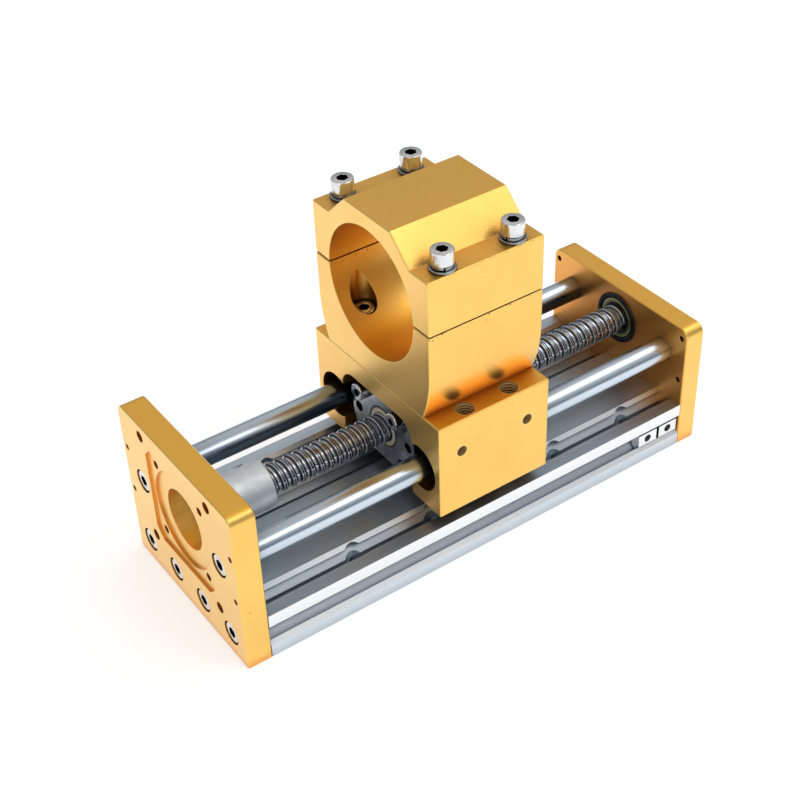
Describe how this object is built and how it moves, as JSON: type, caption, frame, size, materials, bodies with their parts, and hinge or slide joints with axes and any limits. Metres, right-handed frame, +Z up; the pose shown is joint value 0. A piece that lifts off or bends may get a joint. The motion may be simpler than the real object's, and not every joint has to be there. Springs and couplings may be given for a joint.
{
  "type": "linear actuator module",
  "caption": "Screw-driven linear slide on a slotted extrusion, with two end plates, twin guide rods and a carriage that carries a split clamp for a round spindle.",
  "frame": {"origin": "middle of the bounding box's bottom, on the extrusion's underside", "axes": "+X along the screw from the motor plate to the bearing plate, +Y to the far side in the picture, +Z up through the spindle clamp"},
  "size_m": [0.214, 0.08, 0.135],
  "materials": {
    "gold_anodised": "satin",
    "silver_anodised": "satin",
    "stainless": "satin",
    "bearing_steel": "satin",
    "shield_steel": "satin",
    "screw_steel": "polished",
    "coupling_aluminium": "matte",
    "nut_steel": "satin",
    "cream_plastic": "matte",
    "black_plastic": "matte",
    "seal_rubber": "matte",
    "rod_chrome": "polished",
    "slot_nut_steel": "zinc plated"
  },
  "bodies": {
    "frame": {"base_profile": "silver_anodised", "motor_plate": "gold_anodised", "bearing_plate": "gold_anodised", "motor_plate_profile_screws": "stainless", "motor_plate_rod_screws": "stainless", "bearing_plate_profile_screws": "stainless", "bearing_plate_rod_screws": "stainless", "near_guide_rod": "rod_chrome", "far_guide_rod": "rod_chrome", "end_bearing_outer_ring": "bearing_steel", "end_bearing_balls": "bearing_steel", "end_bearing_shields": "shield_steel"},
    "carriage": {"carriage_block": "gold_anodised", "ball_nut": "nut_steel", "ball_nut_wipers": "cream_plastic", "ball_nut_screws": "stainless", "clamp_base": "gold_anodised", "clamp_cap": "gold_anodised", "clamp_base_screws": "stainless", "clamp_screws": "stainless", "clamp_washers": "stainless", "clamp_spring_washers": "stainless", "near_bearing_sleeve": "bearing_steel", "far_bearing_sleeve": "bearing_steel", "near_bearing_cage": "black_plastic", "far_bearing_cage": "black_plastic", "near_bearing_seals": "seal_rubber", "far_bearing_seals": "seal_rubber"},
    "screw": {"ball_screw": "screw_steel", "shaft_coupling": "coupling_aluminium", "coupling_set_screws": "bearing_steel", "end_bearing_inner_ring": "bearing_steel", "screw_end_clip": "bearing_steel"},
    "slot_nut_left": {"slot_nut_left": "slot_nut_steel"},
    "slot_nut_right": {"slot_nut_right": "slot_nut_steel"}
  },
  "joints": [
    {"name": "carriage_slide", "type": "slide", "parent": "frame", "child": "carriage", "axis": [1, 0, 0], "range_m": [-0.052, 0.07]},
    {"name": "screw_turn", "type": "hinge", "parent": "frame", "child": "screw", "pos_m": [0, 0, 0.041], "axis": [1, 0, 0], "range_deg": [-6301, 4681]},
    {"name": "slot_nut_left_slide", "type": "slide", "parent": "frame", "child": "slot_nut_left", "axis": [1, 0, 0], "range_m": [-0.174, 0.0006]},
    {"name": "slot_nut_right_slide", "type": "slide", "parent": "frame", "child": "slot_nut_right", "axis": [1, 0, 0], "range_m": [-0.0006, 0.0004]}
  ],
  "couplings": [
    {"joint": "screw_turn", "follows": "carriage_slide", "rad_per_m": -1570.8}
  ]
}
